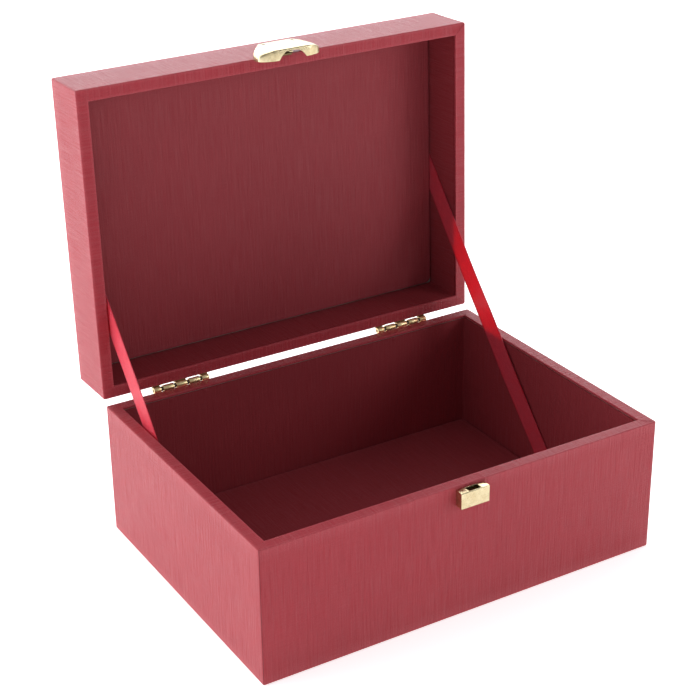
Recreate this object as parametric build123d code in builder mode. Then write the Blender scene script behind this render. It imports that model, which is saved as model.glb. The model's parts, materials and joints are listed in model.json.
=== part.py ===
"""Gift box: a cloth-papered board box with a hinged lid, two check ribbons and a lever catch.

Millimetres, +Z up. X runs left to right, -Y is the front. The origin is the centre of the base's
underside. The lid stands open at the angle where the ribbons stop it.
"""

from math import atan2, degrees, hypot
import os

from build123d import *

# The box
width = 260.0  # left to right, over the covering
depth = 188.0  # front to back, over the covering
base_height = 83.0  # underside to rim
lid_height = 35.0  # rim to top
lid_gap = 0.3  # between the two rims when the lid is shut
open_angle = 91.8  # degrees, where the ribbons stop the lid

# Boards and coverings
board = 6.3  # the wall boards
base_plate = 5.0  # the bottom board
lid_plate = 4.0  # the top board
panel = 1.5  # the thin boards that finish the floor and the lid inside
cloth = 0.5  # covering paper, outside and inside
turn_in = 1.5  # how far the outer covering turns down inside the rim
corner_radius = 1.2  # upright corners, over the covering
sheet_inset = 1.5  # the underside and top sheets stop this far inside the edge
panel_corner = 4.0

# Hinges
hinge_length = 37.0
hinge_spread = 79.4  # from the middle of the box to the middle of a hinge
leaf = 0.7  # thickness
leaf_height = 8.0  # from the pin's line to the leaf's far edge
leaf_corner = 1.2
knuckle_radius = 1.75
knuckle_clearance = 0.05  # between a barrel and the leaf it passes
knuckle_gap = 1.375  # between neighbouring knuckles
knuckle_notch = 3.3  # from the pin's line, cut in a leaf beside the other leaf's knuckles
end_knuckle = 4.8
hinge_pin_radius = 0.8
running_clearance = 0.04  # radial, round each pin

# Nails
nail_radius = 0.6
nail_head_radius = 1.3
nail_head = 0.7
nail_clearance = 0.03
hinge_nail_spread = 11.6  # each side of a hinge's middle
hinge_nail_drop = 3.4  # from the rim
catch_nail_spread = 5.0  # each side of the catch's middle
catch_nail_rise = 4.6  # above the lid's rim

# Keeper, on the base's front
keeper_width = 18.5
keeper_height = 10.0
keeper_proud = 5.5
keeper_drop = 1.9  # from the rim to its top
keeper_wall = 0.7
keeper_slot = 8.0
bridge_height = 2.4  # the strip behind the slot that the hook sits under
bridge = 0.6
keeper_window = 3.4  # height of the window under the bridge
keeper_edge = 0.35  # rounded front edges
prong_width = 2.4
prong_length = 5.0

# Catch, on the lid's front
lever_sheet = 0.7
lever_room_front = 1.1  # between the keeper's front and the lever
lever_room_below = 0.4  # between the keeper's underside and the lever
lever_stand_off = 0.5  # between the skirt's edge and the box
lever_top = 8.9  # above the lid's rim
lever_lip = 0.5  # how far the lower edge bows down past its ends
lever_crease = 7.5  # below the lid's rim, where the front turns in
lever_neck = 10.9  # half width at the top
lever_span = 21.0  # half width over the lobes
arch_room = 0.3  # between the keeper's side and the notch, at the box
arch_crown = 4.1  # half width of the notch at the front
arch_lip = 1.4  # left between the notch and the front
arch_shoulder = (2.9, 0.66)  # in from the notch's foot, and up its height as a share
slit_length = 5.0
slit_width = 0.5
pivot_rise = 4.2  # above the lid's rim
pivot_out = 2.8  # from the lid's front
catch_pin_radius = 0.75
cheek = 0.7
ear = 0.7
side_clearance = 0.2  # between a lever cheek and a plate ear
ear_outer = 8.3  # from the middle to an ear's outer face
plate_sheet = 0.8
plate_top = 8.2
plate_bottom = 1.2
hook_side_clearance = 0.4
hook_sheet = 0.7
hook_back_clearance = 0.4  # between the bridge and the hook's stem
hook_shelf = 1.3  # below the lid's rim, underside of the shelf that carries the stem
barb_reach = 0.7
barb_height = 1.2
barb_clearance = 0.2  # between the barb and the bridge
spring_wire = 0.25  # radius
spring_turns = 4
spring_pitch = 0.9
spring_leg = 3.2

# Ribbons
ribbon_width = 15.0
ribbon = 0.3  # thickness
ribbon_foot = -11.8  # where a ribbon's middle meets the floor, front to back
ribbon_head = 9.8  # where it meets the lid's panel, front to back with the lid shut
ribbon_tuck = 1.2  # hidden beside the panel's edge
ribbon_stand_off = 0.3  # from the lining

# Worked out from the above
wall = board + 2 * cloth
panel_gap = ribbon + 2 * ribbon_stand_off  # round the floor and lid panels
knuckle_offset = knuckle_radius + leaf + knuckle_clearance  # from the back to the pin's line
lever_proud = keeper_proud + lever_room_front + lever_sheet
keeper_foot = lid_gap + keeper_drop + keeper_height  # below the lid's rim
lever_bottom = keeper_foot + lever_room_below + lever_sheet + lever_lip
arch_foot = keeper_width / 2 + arch_room  # half width of the notch at the box
hook_width = keeper_slot - 2 * hook_side_clearance
hook_out = bridge + hook_back_clearance  # from the box to the back of the hook's stem
inner_width = width - 2 * wall
inner_depth = depth - 2 * wall
floor_top = cloth + base_plate + panel + cloth
hinge_y = depth / 2 + knuckle_offset
hinge_z = base_height + lid_gap / 2
lid_rim = base_height + lid_gap
lid_top = lid_rim + lid_height
lid_face = lid_top - cloth - lid_plate - panel - cloth
middle_knuckle = (hinge_length - 2 * end_knuckle - 4 * knuckle_gap) / 3
nail_hole = nail_radius + nail_clearance
hinge_centres = (-hinge_spread, hinge_spread)

os.makedirs("parts", exist_ok=True)


# ---------------------------------------------------------------------------------------- helpers


def save(builder, name):
    builder.part.label = name
    export_step(builder.part, f"parts/{name}.step")


def on_base(plane):
    """Pieces of the base are drawn where they stand."""
    return plane


def on_lid(plane):
    """A plane drawn with the lid shut, carried to where the lid stands open."""
    shut = Location((0, hinge_y, hinge_z))
    opened = Location((0, hinge_y, hinge_z), (-open_angle, 0, 0))
    return Plane(opened * shut.inverse() * plane.location)


front_face = Plane.XZ.offset(depth / 2)
back_face = Plane((0, depth / 2, 0), x_dir=(-1, 0, 0), z_dir=(0, 1, 0))


def slab(plane, size_x, size_y, thickness, corner=0.0):
    """One flat sheet or board, drawn about the plane's origin."""
    with BuildSketch(plane) as outline:
        Rectangle(size_x, size_y)
        if corner:
            fillet(outline.vertices(), corner)
    extrude(outline.sketch, amount=thickness)


def ring(plane, outer_x, outer_y, inner_x, inner_y, thickness, corner=0.0):
    """A flat rectangular ring."""
    with BuildSketch(plane) as outline:
        Rectangle(outer_x, outer_y)
        if corner:
            fillet(outline.vertices(), corner)
        Rectangle(inner_x, inner_y, mode=Mode.SUBTRACT)
    extrude(outline.sketch, amount=thickness)


def drill(plane, spots, radius, depth_in):
    """Round holes from the plane straight into the part being made."""
    with BuildSketch(plane) as holes:
        with Locations(*spots):
            Circle(radius)
    extrude(holes.sketch, amount=-depth_in, mode=Mode.SUBTRACT)


def hinge_nail_spots(height):
    return [(x + side * hinge_nail_spread, height) for x in hinge_centres for side in (-1, 1)]


base_hinge_nails = hinge_nail_spots(base_height - hinge_nail_drop)
lid_hinge_nails = hinge_nail_spots(lid_rim + hinge_nail_drop)
catch_nail_spots = [(side * catch_nail_spread, lid_rim + catch_nail_rise) for side in (-1, 1)]
hinge_nail_length = leaf + wall - cloth - nail_clearance
catch_nail_length = plate_sheet + wall - cloth - nail_clearance


# ----------------------------------------------------------------------------- the box's two halves


def cut_prong_slots(depth_in):
    """Two slots in the base's front for the keeper's prongs."""
    reach = keeper_width / 2 - keeper_wall / 2
    middle = base_height - keeper_drop - keeper_height / 2
    with BuildSketch(front_face) as slots:
        with Locations((-reach, middle), (reach, middle)):
            Rectangle(keeper_wall + 2 * nail_clearance, prong_width + 2 * nail_clearance)
    extrude(slots.sketch, amount=-depth_in, mode=Mode.SUBTRACT)


def fixing_holes(half, place):
    """The holes that the hinges, keeper and catch need, through whatever is being made."""
    through = wall - cloth
    if half == "base":
        drill(place(back_face), base_hinge_nails, nail_hole, through)
        cut_prong_slots(prong_length + nail_clearance)
    else:
        drill(place(back_face), lid_hinge_nails, nail_hole, through)
        drill(place(front_face), catch_nail_spots, nail_hole, through)


def make_half(half, place, low, high, closed, plate):
    """Boards, coverings and linings of the base or the lid.

    low and high are its lowest and highest levels, and closed is the level of the plate's outer
    side: the underside of the base or the top of the lid.
    """
    inward = 1 if closed == low else -1
    rim = high if closed == low else low
    core_low = min(closed + inward * cloth, rim - inward * cloth)
    core_height = high - low - 2 * cloth
    side = (width - 2 * cloth - board) / 2
    end = (depth - 2 * cloth - board) / 2
    long_board = width - 2 * cloth
    short_board = depth - 2 * cloth - 2 * board
    walls = {
        "front": (0, -end, long_board, board),
        "back": (0, end, long_board, board),
        "left": (-side, 0, board, short_board),
        "right": (side, 0, board, short_board),
    }
    for name, (x, y, size_x, size_y) in walls.items():
        with BuildPart() as wall_board:
            slab(place(Plane((x, y, core_low))), size_x, size_y, core_height)
            if name in ("front", "back"):
                fixing_holes(half, place)
        save(wall_board, f"{half}_{name}_board")

    # The plate lies inside the walls, flush with their closed edge.
    with BuildPart() as plate_board:
        plate_plane = place(Plane((0, 0, closed + inward * cloth)))
        opening_x = width - 2 * cloth - 2 * board
        slab(plate_plane, opening_x, short_board, inward * plate)
    save(plate_board, f"{half}_plate_board")

    # One strip of covering goes round the walls, over the rim and down inside it, and turns in
    # over the closed side as far as the sheet that finishes it.
    inset_x = width - 2 * sheet_inset
    inset_y = depth - 2 * sheet_inset
    core_x = width - 2 * cloth
    core_y = depth - 2 * cloth
    with BuildPart() as wrap:
        full = place(Plane((0, 0, low)))
        ring(full, width, depth, core_x, core_y, high - low, corner_radius)
        rim_plane = place(Plane((0, 0, rim - inward * cloth)))
        ring(rim_plane, core_x, core_y, inner_width, inner_depth, inward * cloth)
        ring(
            rim_plane,
            inner_width + 2 * cloth,
            inner_depth + 2 * cloth,
            inner_width,
            inner_depth,
            -inward * turn_in,
        )
        closed_plane = place(Plane((0, 0, closed)))
        ring(closed_plane, core_x, core_y, inset_x, inset_y, inward * cloth)
        fixing_holes(half, place)
    save(wrap, f"{half}_wrap")

    with BuildPart() as sheet:
        slab(place(Plane((0, 0, closed))), inset_x, inset_y, inward * cloth)
    save(sheet, "base_underside_sheet" if half == "base" else "lid_top_sheet")

    # Four lining strips reach from the plate to the turned-in covering.
    lining_low = min(closed + inward * (cloth + plate), rim - inward * (cloth + turn_in))
    lining_height = high - low - plate - 2 * cloth - turn_in
    strip_y = (inner_depth + cloth) / 2
    strip_x = (inner_width + cloth) / 2
    linings = {
        "front": (0, -strip_y, inner_width + 2 * cloth, cloth),
        "back": (0, strip_y, inner_width + 2 * cloth, cloth),
        "left": (-strip_x, 0, cloth, inner_depth),
        "right": (strip_x, 0, cloth, inner_depth),
    }
    for name, (x, y, size_x, size_y) in linings.items():
        with BuildPart() as lining:
            slab(place(Plane((x, y, lining_low))), size_x, size_y, lining_height)
        save(lining, f"{half}_{name}_lining")

    # A thin panel, its own cover turned down round its edges.
    panel_x = inner_width - 2 * panel_gap
    panel_y = inner_depth - 2 * panel_gap
    panel_plane = place(Plane((0, 0, closed + inward * (cloth + plate))))
    bare_x = panel_x - 2 * cloth
    bare_y = panel_y - 2 * cloth
    with BuildPart() as panel_board:
        slab(panel_plane, bare_x, bare_y, inward * panel, panel_corner - cloth)
    save(panel_board, f"{half}_panel_board")

    with BuildPart() as panel_cover:
        slab(panel_plane, panel_x, panel_y, inward * (panel + cloth), panel_corner)
        with BuildSketch(panel_plane) as core:
            RectangleRounded(bare_x, bare_y, panel_corner - cloth)
        extrude(core.sketch, amount=inward * panel, mode=Mode.SUBTRACT)
    save(panel_cover, f"{half}_panel_cover")


make_half("base", on_base, 0, base_height, 0, base_plate)
make_half("lid", on_lid, lid_rim, lid_top, lid_top, lid_plate)


# ----------------------------------------------------------------------------------------- hinges


def knuckle_spans():
    """Start and length of the five knuckles, from the hinge's left end."""
    lengths = (end_knuckle, middle_knuckle, middle_knuckle, middle_knuckle, end_knuckle)
    start = -hinge_length / 2
    spans = []
    for length in lengths:
        spans.append((start, length))
        start += length + knuckle_gap
    return spans


def make_leaf(name, x, place, direction, nails, knuckles):
    """A hinge leaf flat on the back of the box. direction is -1 down from the pin, +1 up."""
    clear = lid_gap / 2
    tall = leaf_height - clear
    middle = hinge_z + direction * (clear + tall / 2)
    with BuildPart() as hinge_leaf:
        with BuildSketch(place(back_face)) as outline:
            with Locations((-x, middle)):
                flat = Rectangle(hinge_length, tall)
            fillet(flat.vertices().group_by(Axis.Y)[0 if direction < 0 else -1], leaf_corner)
            for index in set(range(5)) - set(knuckles):
                start, length = knuckle_spans()[index]
                middle_x = -(x + start + length / 2)
                with Locations((middle_x, hinge_z + direction * knuckle_notch / 2)):
                    Rectangle(length + knuckle_gap, knuckle_notch, mode=Mode.SUBTRACT)
        extrude(outline.sketch, amount=leaf)
        for index in knuckles:
            start, length = knuckle_spans()[index]
            barrel_plane = Plane((x + start, hinge_y, hinge_z), x_dir=(0, 1, 0), z_dir=(1, 0, 0))
            with BuildSketch(place(barrel_plane)) as barrel:
                Circle(knuckle_radius)
                web_out = knuckle_offset - leaf / 2
                with Locations((-web_out / 2, direction * (clear + knuckle_radius) / 2)):
                    Rectangle(web_out, knuckle_radius - clear)
                Circle(hinge_pin_radius + running_clearance, mode=Mode.SUBTRACT)
            extrude(barrel.sketch, amount=length)
        own_nails = [spot for spot in nails if abs(spot[0] + x) < hinge_length / 2]
        drill(place(back_face).offset(leaf), own_nails, nail_hole, leaf)
    save(hinge_leaf, name)


def make_nails(name, plane, spots, length):
    """Round-headed nails whose heads sit on the plane."""
    with BuildPart() as nails:
        with BuildSketch(plane) as shanks:
            with Locations(*spots):
                Circle(nail_radius)
        extrude(shanks.sketch, amount=-length)
        with BuildSketch(plane) as heads:
            with Locations(*spots):
                Circle(nail_head_radius)
        extrude(heads.sketch, amount=nail_head, taper=28)
    save(nails, name)


for side, x in zip(("left", "right"), hinge_centres):
    make_leaf(f"hinge_base_leaf_{side}", x, on_base, -1, base_hinge_nails, (1, 3))
    make_leaf(f"hinge_lid_leaf_{side}", x, on_lid, 1, lid_hinge_nails, (0, 2, 4))
    with BuildPart() as hinge_pin:
        pin_plane = Plane((x - hinge_length / 2, hinge_y, hinge_z), x_dir=(0, 1, 0), z_dir=(1, 0, 0))
        with BuildSketch(pin_plane):
            Circle(hinge_pin_radius)
        extrude(amount=hinge_length)
    save(hinge_pin, f"hinge_pin_{side}")

make_nails("hinge_nails_base", back_face.offset(leaf), base_hinge_nails, hinge_nail_length)
make_nails("hinge_nails_lid", on_lid(back_face).offset(leaf), lid_hinge_nails, hinge_nail_length)


# ----------------------------------------------------------------------------------------- keeper

keeper_top = base_height - keeper_drop
keeper_middle = keeper_top - keeper_height / 2

with BuildPart() as keeper:
    with BuildSketch(front_face):
        with Locations((0, keeper_middle)):
            Rectangle(keeper_width, keeper_height)
    extrude(amount=keeper_proud)
    fillet(keeper.faces().sort_by(Axis.Y)[0].edges(), keeper_edge)
    # Hollow behind the front, down to the bridge's own thickness at the back.
    with BuildSketch(front_face.offset(bridge)):
        with Locations((0, keeper_middle)):
            Rectangle(keeper_width - 2 * keeper_wall, keeper_height - 2 * keeper_wall)
    extrude(amount=keeper_proud - keeper_wall - bridge, mode=Mode.SUBTRACT)
    # The slot in the top, between the bridge and the front.
    slot_depth = keeper_proud - keeper_wall - bridge
    with BuildSketch(Plane((0, -depth / 2 - bridge - slot_depth / 2, keeper_top))):
        Rectangle(keeper_slot, slot_depth)
    extrude(amount=-keeper_wall, mode=Mode.SUBTRACT)
    # The window under the bridge.
    with BuildSketch(front_face):
        with Locations((0, keeper_top - bridge_height - keeper_window / 2)):
            Rectangle(keeper_slot, keeper_window)
    extrude(amount=bridge, mode=Mode.SUBTRACT)
    # Two prongs that are driven into the board.
    prong_reach = keeper_width / 2 - keeper_wall / 2
    with BuildSketch(front_face):
        with Locations((-prong_reach, keeper_middle), (prong_reach, keeper_middle)):
            Rectangle(keeper_wall, prong_width)
    extrude(amount=-prong_length)
save(keeper, "keeper")


# ------------------------------------------------------------------------------------------ catch

# Drawn on the lid's front: X across, Y up from the lid's rim, Z out of the box.
catch_frame = Plane((0, -depth / 2, lid_rim), x_dir=(1, 0, 0), z_dir=(0, -1, 0))
lever_inside = lever_proud - lever_sheet
cheek_inner = ear_outer + side_clearance
cheek_outer = cheek_inner + cheek
pin_eye = catch_pin_radius + running_clearance


def catch_level(out):
    """A plane parallel to the lid's front, this far out of it."""
    return on_lid(catch_frame.offset(out))


def catch_slice(x):
    """A plane square to X at x, with its own X up the lid's front and its own Y out of it."""
    return on_lid(Plane((x, -depth / 2, lid_rim), x_dir=(0, 0, 1), z_dir=(1, 0, 0)))


# Half outlines of the lever, top to bottom: at the skirt's edge, part way out and at the front.
# The lower edge bows down from the skirt to the front.
shoulder_bow = 0.2 * lever_lip
front_bow = 0.4 * lever_lip
skirt_outline = [
    (lever_neck + 0.1, lever_top),
    (lever_span - 4.2, 1.9),
    (lever_span - 0.8, -3.0),
    (lever_span, -6.2),
    (lever_span - 2.2, -10.6),
    (arch_foot + 0.9, lever_lip - lever_bottom),
]
shoulder_outline = [
    (lever_neck + 0.05, lever_top),
    (lever_span - 5.2, 1.9),
    (lever_span - 2.0, -3.0),
    (lever_span - 1.4, -6.2),
    (lever_span - 3.4, -10.4),
    (arch_foot + 0.5, lever_lip - lever_bottom - shoulder_bow),
]
front_outline = [
    (lever_neck, lever_top),
    (lever_neck + 2.3, 1.6),
    (lever_neck + 3.1, -2.0),
    (lever_neck + 3.0, -5.0),
    (lever_neck + 2.3, -lever_crease),
    (arch_foot - 0.4, lever_lip - lever_bottom - front_bow),
]
shoulder_share = 0.62  # how far out the shoulder outline lies, of the front
back_step = 0.175  # the hollow starts this far behind the skirt's edge, so its back is open


def lever_shape(inset, mode):
    """The lever's swelling shape, filled. inset shrinks it all round and leaves its back open."""
    levels = (
        (lever_stand_off - (back_step if inset else 0), skirt_outline),
        (shoulder_share * lever_proud - inset, shoulder_outline),
        (lever_proud - inset, front_outline),
    )
    sections = []
    for out, half in levels:
        outline = half + [(-x, y) for x, y in reversed(half)]
        with BuildSketch(catch_level(out)) as section:
            with BuildLine():
                Polyline(*outline, close=True)
            make_face()
            if inset:
                offset(amount=-inset, kind=Kind.INTERSECTION, mode=Mode.REPLACE)
        sections.append(section.sketch.face())
    loft(sections, ruled=False, mode=mode)


def lever_notch():
    """The arched notch in the lower edge, which lets the keeper through."""
    crown = lever_inside - arch_lip
    shoulder = (arch_foot - arch_shoulder[0], arch_shoulder[1] * crown)
    plane = on_lid(Plane((0, -depth / 2, lid_rim - lever_bottom), x_dir=(1, 0, 0), z_dir=(0, 0, -1)))
    with BuildSketch(plane) as notch:
        with BuildLine():
            left = ThreePointArc((-arch_foot, 0), (-shoulder[0], shoulder[1]), (-arch_crown, crown))
            right = ThreePointArc((arch_crown, crown), shoulder, (arch_foot, 0))
            Line(left @ 1, right @ 0)
            Line(right @ 1, left @ 0)
        make_face()
    extrude(notch.sketch, amount=2 * lever_sheet, both=True, mode=Mode.SUBTRACT)


def lever_cheeks():
    """Two cheeks bent in from the front, which ride on the pin, and the slits they leave."""
    slit_x = cheek_outer + slit_width / 2
    with BuildSketch(catch_level(lever_proud)) as slits:
        with Locations((-slit_x, pivot_rise), (slit_x, pivot_rise)):
            Rectangle(slit_width, slit_length)
    extrude(slits.sketch, amount=-lever_sheet, mode=Mode.SUBTRACT)
    cheek_back = pivot_out - catch_pin_radius - cheek
    for x in (-cheek_outer, cheek_inner):
        with BuildSketch(catch_slice(x)) as cheek_plate:
            with Locations((pivot_rise, (cheek_back + lever_inside) / 2)):
                Rectangle(slit_length, lever_inside - cheek_back)
            with Locations((pivot_rise, pivot_out)):
                Circle(pin_eye, mode=Mode.SUBTRACT)
        extrude(cheek_plate.sketch, amount=cheek)


def lever_hook():
    """A shelf in from the front, a stem down into the keeper and a barb towards the box."""
    barb_top = -(lid_gap + keeper_drop + bridge_height + barb_clearance)
    barb_end = barb_top - barb_height
    stem_front = hook_out + hook_sheet
    with BuildSketch(catch_slice(-hook_width / 2)) as hook:
        with BuildLine():
            Polyline(
                (hook_sheet - hook_shelf, lever_inside),
                (hook_sheet - hook_shelf, hook_out),
                (barb_top, hook_out),
                (barb_top, hook_out - barb_reach),
                (barb_end, hook_out),
                (barb_end, stem_front),
                (-hook_shelf, stem_front),
                (-hook_shelf, lever_inside),
                close=True,
            )
        make_face()
    extrude(hook.sketch, amount=hook_width)


with BuildPart() as catch_lever:
    lever_shape(0, Mode.ADD)
    lever_shape(lever_sheet, Mode.SUBTRACT)
    # The upper edge stops short of the lid, so that the lever can tip.
    with BuildSketch(catch_level(0)) as head_room:
        with Locations((0, lever_top)):
            Rectangle(2 * lever_span, 2 * (lever_top - pivot_rise))
    extrude(head_room.sketch, amount=pivot_out, mode=Mode.SUBTRACT)
    lever_notch()
    lever_cheeks()
    lever_hook()
save(catch_lever, "catch_lever")

with BuildPart() as catch_plate:
    with BuildSketch(catch_level(0)) as plate_outline:
        with Locations((0, (plate_top + plate_bottom) / 2)):
            Rectangle(2 * ear_outer, plate_top - plate_bottom)
    extrude(plate_outline.sketch, amount=plate_sheet)
    for x in (-ear_outer, ear_outer - ear):
        with BuildSketch(catch_slice(x)) as ear_plate:
            with Locations((pivot_rise, pivot_out / 2)):
                Rectangle(2 * (catch_pin_radius + ear), pivot_out)
            with Locations((pivot_rise, pivot_out)):
                Circle(catch_pin_radius + ear)
                Circle(pin_eye, mode=Mode.SUBTRACT)
        extrude(ear_plate.sketch, amount=ear)
    plate_nails = [(side * catch_nail_spread, catch_nail_rise) for side in (-1, 1)]
    drill(catch_level(plate_sheet), plate_nails, nail_hole, plate_sheet)
save(catch_plate, "catch_plate")

make_nails("catch_nails", catch_level(plate_sheet), plate_nails, catch_nail_length)

with BuildPart() as catch_pin:
    with BuildSketch(catch_slice(-cheek_outer - slit_width)):
        with Locations((pivot_rise, pivot_out)):
            Circle(catch_pin_radius)
    extrude(amount=2 * (cheek_outer + slit_width))
save(catch_pin, "catch_pin")

# The coil lies round the pin, its wall side on the plate. Both ends run up, one on the plate and
# one behind the lever's upper edge, and press them apart. It is drawn about its own axis first.
coil_radius = pivot_out - plate_sheet - spring_wire - nail_clearance
coil_length = (spring_turns + 0.5) * spring_pitch
coil_start = (coil_length / 2, -depth / 2 - pivot_out, lid_rim + pivot_rise)
coil_plane = on_lid(Plane(coil_start, x_dir=(0, 1, 0), z_dir=(-1, 0, 0)))
with BuildLine() as spring_line:
    coil = Helix(pitch=spring_pitch, height=coil_length, radius=coil_radius)
    Line((coil @ 0) - (coil % 0) * spring_leg, coil @ 0)
    Line(coil @ 1, (coil @ 1) + (coil % 1) * spring_leg)
spring_path = coil_plane.from_local_coords(spring_line.wires()[0])
with BuildPart() as catch_spring:
    with BuildSketch(Plane(spring_path @ 0, z_dir=spring_path % 0)):
        Circle(spring_wire)
    sweep(path=spring_path)
save(catch_spring, "catch_spring")


# ---------------------------------------------------------------------------------------- ribbons

# Each ribbon runs straight and taut from beside the floor panel to beside the lid's panel.
head_origin = on_lid(Plane((0, ribbon_head, lid_face))).origin
rise = head_origin.Z - floor_top
run = head_origin.Y - ribbon_foot
ribbon_faces = (-inner_width / 2 + ribbon_stand_off, inner_width / 2 - ribbon_stand_off - ribbon)

for side, x in zip(("left", "right"), ribbon_faces):
    with BuildPart() as check_ribbon:
        with BuildSketch(Plane((x, 0, 0), x_dir=(0, 1, 0), z_dir=(1, 0, 0))):
            with Locations((ribbon_foot + run / 2, floor_top + rise / 2)):
                spare = 4 * ribbon_width
                tilt = degrees(atan2(rise, run))
                Rectangle(hypot(rise, run) + spare, ribbon_width, rotation=tilt)
        extrude(amount=ribbon)
        split(bisect_by=Plane.XY.offset(floor_top - ribbon_tuck), keep=Keep.TOP)
        split(bisect_by=on_lid(Plane.XY.offset(lid_face + ribbon_tuck)), keep=Keep.BOTTOM)
    save(check_ribbon, f"ribbon_{side}")
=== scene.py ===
import json
import math

import bmesh
import bpy
import numpy as np
from mathutils import Matrix, Vector, noise


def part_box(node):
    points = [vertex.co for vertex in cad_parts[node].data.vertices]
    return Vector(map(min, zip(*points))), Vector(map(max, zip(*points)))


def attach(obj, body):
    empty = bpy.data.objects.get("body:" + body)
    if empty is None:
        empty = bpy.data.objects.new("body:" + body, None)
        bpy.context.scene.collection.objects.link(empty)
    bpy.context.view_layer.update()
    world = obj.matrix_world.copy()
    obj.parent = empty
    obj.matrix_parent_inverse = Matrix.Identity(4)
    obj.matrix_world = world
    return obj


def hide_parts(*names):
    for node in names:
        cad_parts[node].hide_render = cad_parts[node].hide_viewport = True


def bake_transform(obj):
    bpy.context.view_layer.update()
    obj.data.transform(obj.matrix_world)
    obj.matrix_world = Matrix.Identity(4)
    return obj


# The looks of the gift box. Shapes are worked out in millimetres and stored in metres. Pieces of
# the lid and the lever are drawn with the lid shut and then carried to where it stands open. The
# base's pieces are drawn where they are.

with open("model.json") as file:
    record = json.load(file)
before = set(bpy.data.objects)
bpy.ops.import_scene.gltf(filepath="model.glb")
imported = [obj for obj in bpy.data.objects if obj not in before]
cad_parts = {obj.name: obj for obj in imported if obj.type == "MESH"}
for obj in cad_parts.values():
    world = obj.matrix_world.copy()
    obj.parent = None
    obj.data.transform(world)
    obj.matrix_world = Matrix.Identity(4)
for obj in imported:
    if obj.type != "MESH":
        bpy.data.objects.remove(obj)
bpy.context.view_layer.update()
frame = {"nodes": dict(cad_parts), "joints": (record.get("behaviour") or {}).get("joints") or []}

MM = 0.001
CLOTH = 0.5  # thickness of every paper
TURN_IN = 1.5  # how far the strip reaches down inside the rim
SHEET_INSET = 1.5  # the underside and top sheets stop this far inside the walls

# ---- places from the CAD

joints = {joint["name"]: joint for joint in frame["joints"]}
hinge = joints["lid_hinge"]
pivot = Vector(hinge["pos_m"])
turn = Matrix.Rotation(-math.radians(hinge["range_deg"][1]), 4, "X")
OPEN = Matrix.Translation(pivot) @ turn @ Matrix.Translation(-pivot)
SHUT = OPEN.inverted()
PLACES = {"base": Matrix.Identity(4), "lid": OPEN, "lever": OPEN}


def shut_box(node):
    """Lowest and highest corner of a lid node in millimetres, with the lid shut."""
    mesh = frame["nodes"][node].data
    spots = np.array([SHUT @ v.co for v in mesh.vertices]) / MM
    return spots.min(0), spots.max(0)


def base_box(node):
    """Lowest and highest corner of a base node in millimetres."""
    low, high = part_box(node)
    return np.array(low) / MM, np.array(high) / MM


wrap_high = base_box("base_wrap")[1]
WIDTH, DEPTH = wrap_high[0] * 2, wrap_high[1] * 2
RIM = wrap_high[2]
lid_low, lid_high = shut_box("lid_wrap")
LID_RIM, LID_TOP = lid_low[2], lid_high[2]
INNER_X = 2 * base_box("base_right_lining")[0][0]
WALL = (WIDTH - INNER_X) / 2
FLOOR_TOP = base_box("base_panel_cover")[1][2]
LID_FACE = shut_box("lid_panel_cover")[0][2]
HINGE_Y, HINGE_Z = pivot[1] / MM, pivot[2] / MM


# ---- materials


def node(tree, kind, inputs=None, **settings):
    made = tree.nodes.new(kind)
    for key, value in settings.items():
        setattr(made, key, value)
    for key, value in (inputs or {}).items():
        if isinstance(value, bpy.types.NodeSocket):
            tree.links.new(value, made.inputs[key])
        else:
            made.inputs[key].default_value = value
    return made


def new_material(name):
    material = bpy.data.materials.new(name)
    material.use_nodes = True
    tree = material.node_tree
    tree.nodes.clear()
    output = node(tree, "ShaderNodeOutputMaterial")
    shader = node(tree, "ShaderNodeBsdfPrincipled")
    tree.links.new(shader.outputs["BSDF"], output.inputs["Surface"])
    return material, tree, shader


def calc(tree, operation, a, b=0.0, c=0.0, clamp=False):
    made = node(tree, "ShaderNodeMath", {0: a, 1: b, 2: c}, operation=operation)
    made.use_clamp = clamp
    return made.outputs[0]


def spread(tree, value, low, high, to_low=0.0, to_high=1.0):
    """A value from low to high, carried to to_low to to_high and held there."""
    inputs = {"Value": value, "From Min": low, "From Max": high, "To Min": to_low, "To Max": to_high}
    return node(tree, "ShaderNodeMapRange", inputs).outputs[0]


def mixed(tree, share, a, b, blend="MIX"):
    made = node(tree, "ShaderNodeMix", data_type="RGBA", blend_type=blend)
    for index, value in ((0, share), (6, a), (7, b)):
        if isinstance(value, bpy.types.NodeSocket):
            tree.links.new(value, made.inputs[index])
        else:
            made.inputs[index].default_value = value
    return made.outputs[2]


def grain(tree, vector, scale, detail=2.0, rough=0.5, offset=(0.0, 0.0, 0.0)):
    """Noise whose three axes have their own scales, in cycles per unit of the vector."""
    placed = node(tree, "ShaderNodeMapping", {"Vector": vector, "Scale": scale, "Location": offset})
    inputs = {"Vector": placed.outputs[0], "Scale": 1.0, "Detail": detail, "Roughness": rough}
    return node(tree, "ShaderNodeTexNoise", inputs).outputs[0]


def attribute(tree, name, output):
    return node(tree, "ShaderNodeAttribute", attribute_name=name).outputs[output]


def rgb(red, green, blue):
    return (red, green, blue, 1.0)


def object_place(tree):
    return node(tree, "ShaderNodeTexCoord").outputs["Object"]


def weigh(tree, a, share_a, b, share_b):
    """Two values added up in the given shares."""
    return calc(tree, "ADD", calc(tree, "MULTIPLY", a, share_a), calc(tree, "MULTIPLY", b, share_b))


def dress(tree, shader, colour, rough, relief, strength, distance):
    """Links a surface's colour, roughness and relief. distance is the relief's height in metres."""
    bump = node(tree, "ShaderNodeBump", {"Strength": strength, "Distance": distance, "Height": relief})
    for name, value in (("Base Color", colour), ("Roughness", rough), ("Normal", bump.outputs[0])):
        tree.links.new(value, shader.inputs[name])


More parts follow.
